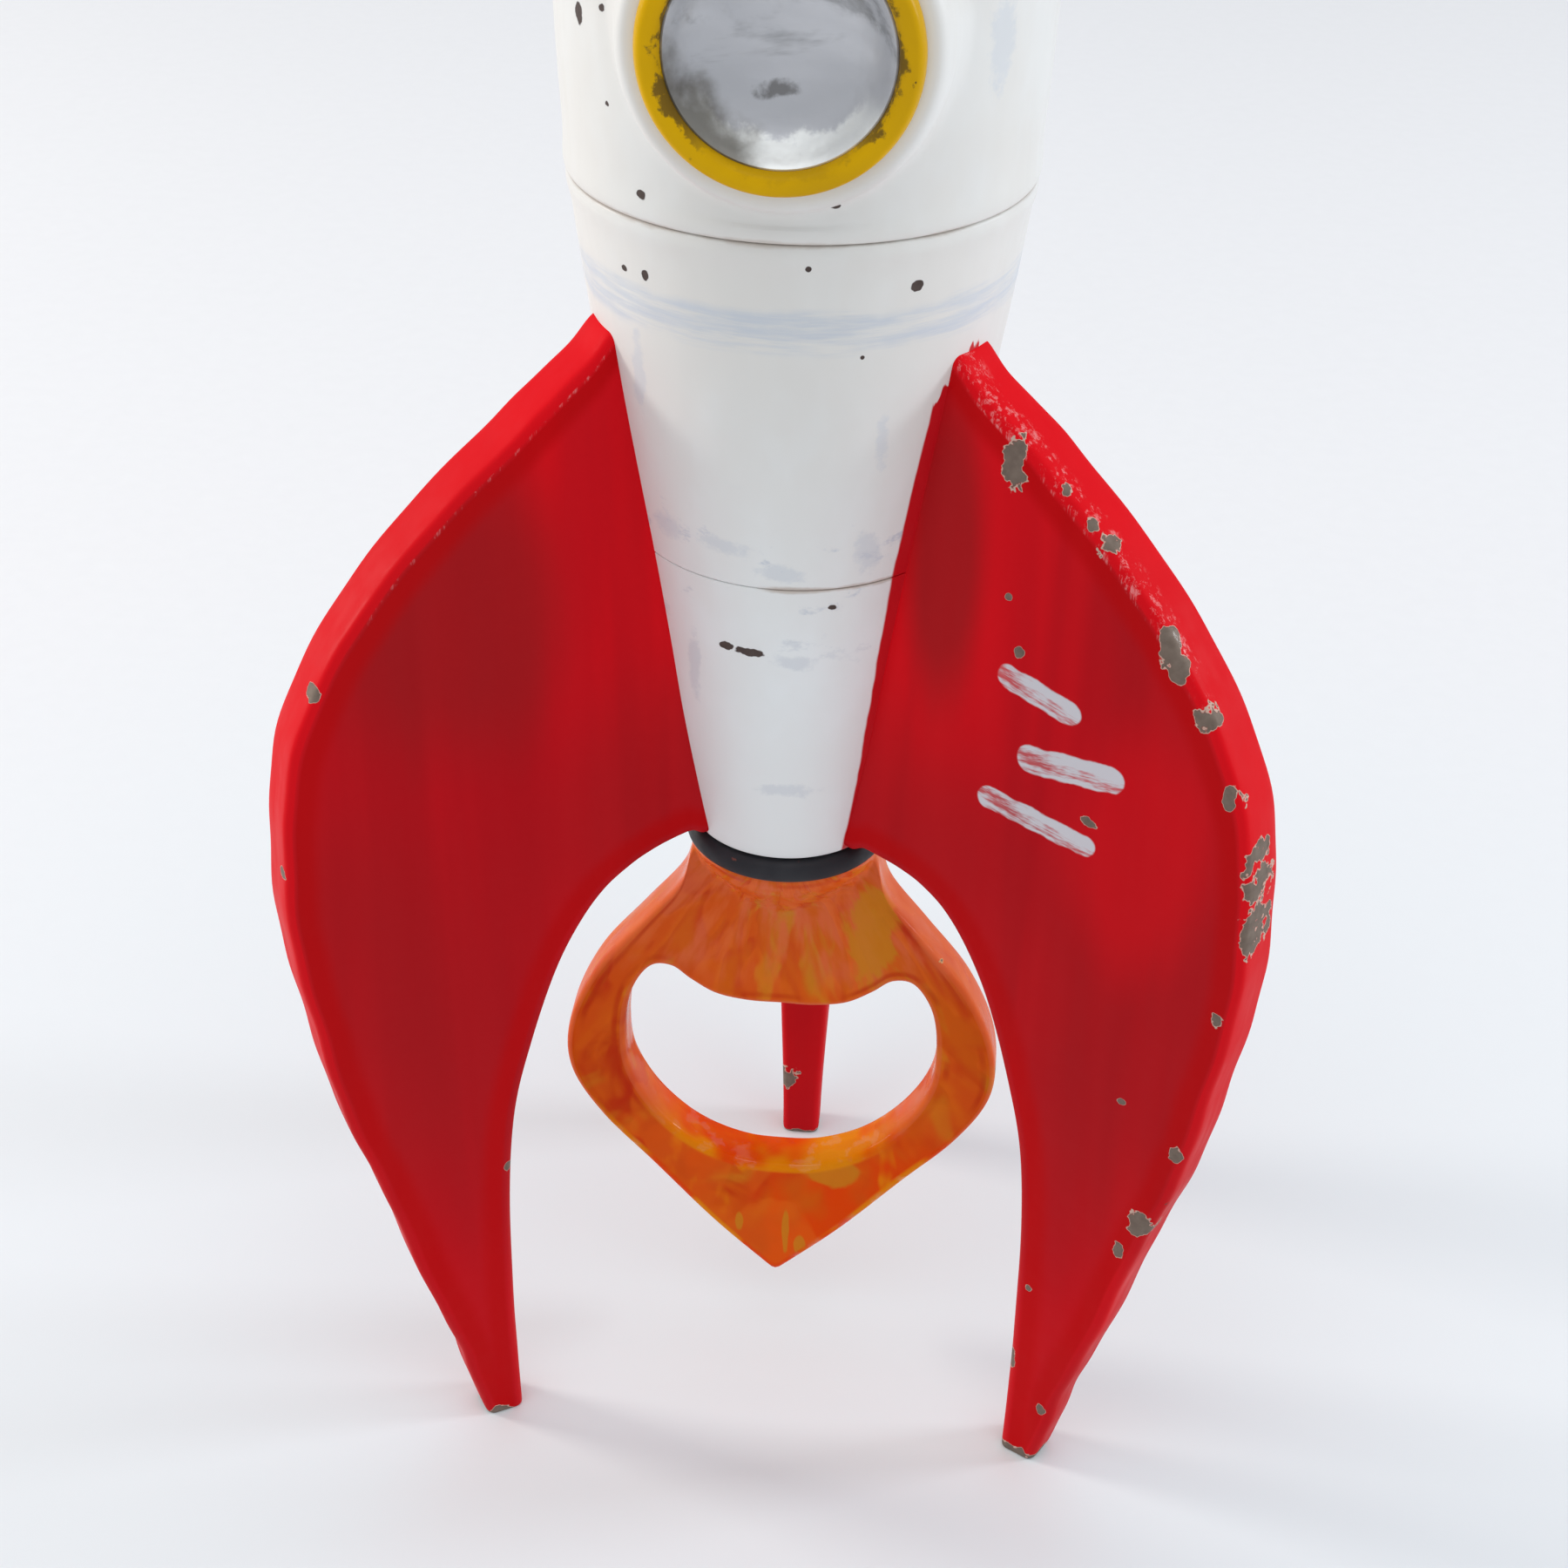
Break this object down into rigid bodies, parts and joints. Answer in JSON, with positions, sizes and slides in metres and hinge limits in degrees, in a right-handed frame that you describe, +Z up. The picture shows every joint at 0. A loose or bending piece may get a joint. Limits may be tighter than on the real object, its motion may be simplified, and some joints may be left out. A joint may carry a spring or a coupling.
{
  "type": "rocket bottle opener",
  "caption": "Standing cast-metal rocket on curved fins, with a porthole, a tapering body and a ring-shaped flame under the tail that opens bottles.",
  "frame": {"origin": "Middle of the bounding box's base, on the table plane, 13.4 mm behind the body's axis (towards +Y) because one fin points straight back.", "axes": "+Z up along the body. The porthole faces the front, -Y. +X is to the right of a viewer who faces the porthole."},
  "size_m": [0.1038, 0.0902, 0.2615],
  "materials": {
    "white_paint": "hand-brushed semi-gloss off-white enamel over rough cast metal, with small dark pits",
    "red_paint": "hand-brushed glossy red enamel, chipped to grey-brown metal along the edges",
    "yellow_paint": "glossy yellow-ochre enamel with dark specks",
    "grey_metal": "hand-rubbed silver-grey metal, smudged dark towards the rim",
    "charcoal_paint": "satin charcoal enamel",
    "flame_paint": "glossy enamel in wet-blended orange, deep orange-red and ochre",
    "zinc_steel": "plain zinc-plated steel, hidden inside the body",
    "raw_iron": "unpainted casting, hidden inside the body"
  },
  "bodies": {
    "root": {"upper_body": "white_paint", "mid_body": "white_paint", "tail_cone": "white_paint", "nose_cone": "red_paint", "fin_left": "red_paint", "fin_right": "red_paint", "fin_rear": "red_paint", "porthole_ring": "yellow_paint", "porthole_dish": "grey_metal", "collar": "charcoal_paint", "flame_opener": "flame_paint", "tie_rod": "zinc_steel", "tail_washer": "zinc_steel", "tail_nut": "zinc_steel", "nose_washer": "zinc_steel", "nose_nut": "zinc_steel", "fin_left_screw_upper": "zinc_steel", "fin_left_screw_lower": "zinc_steel", "fin_right_screw_upper": "zinc_steel", "fin_right_screw_lower": "zinc_steel", "fin_rear_screw_upper": "zinc_steel", "fin_rear_screw_lower": "zinc_steel", "bulkhead": "raw_iron"}
  },
  "joints": []
}
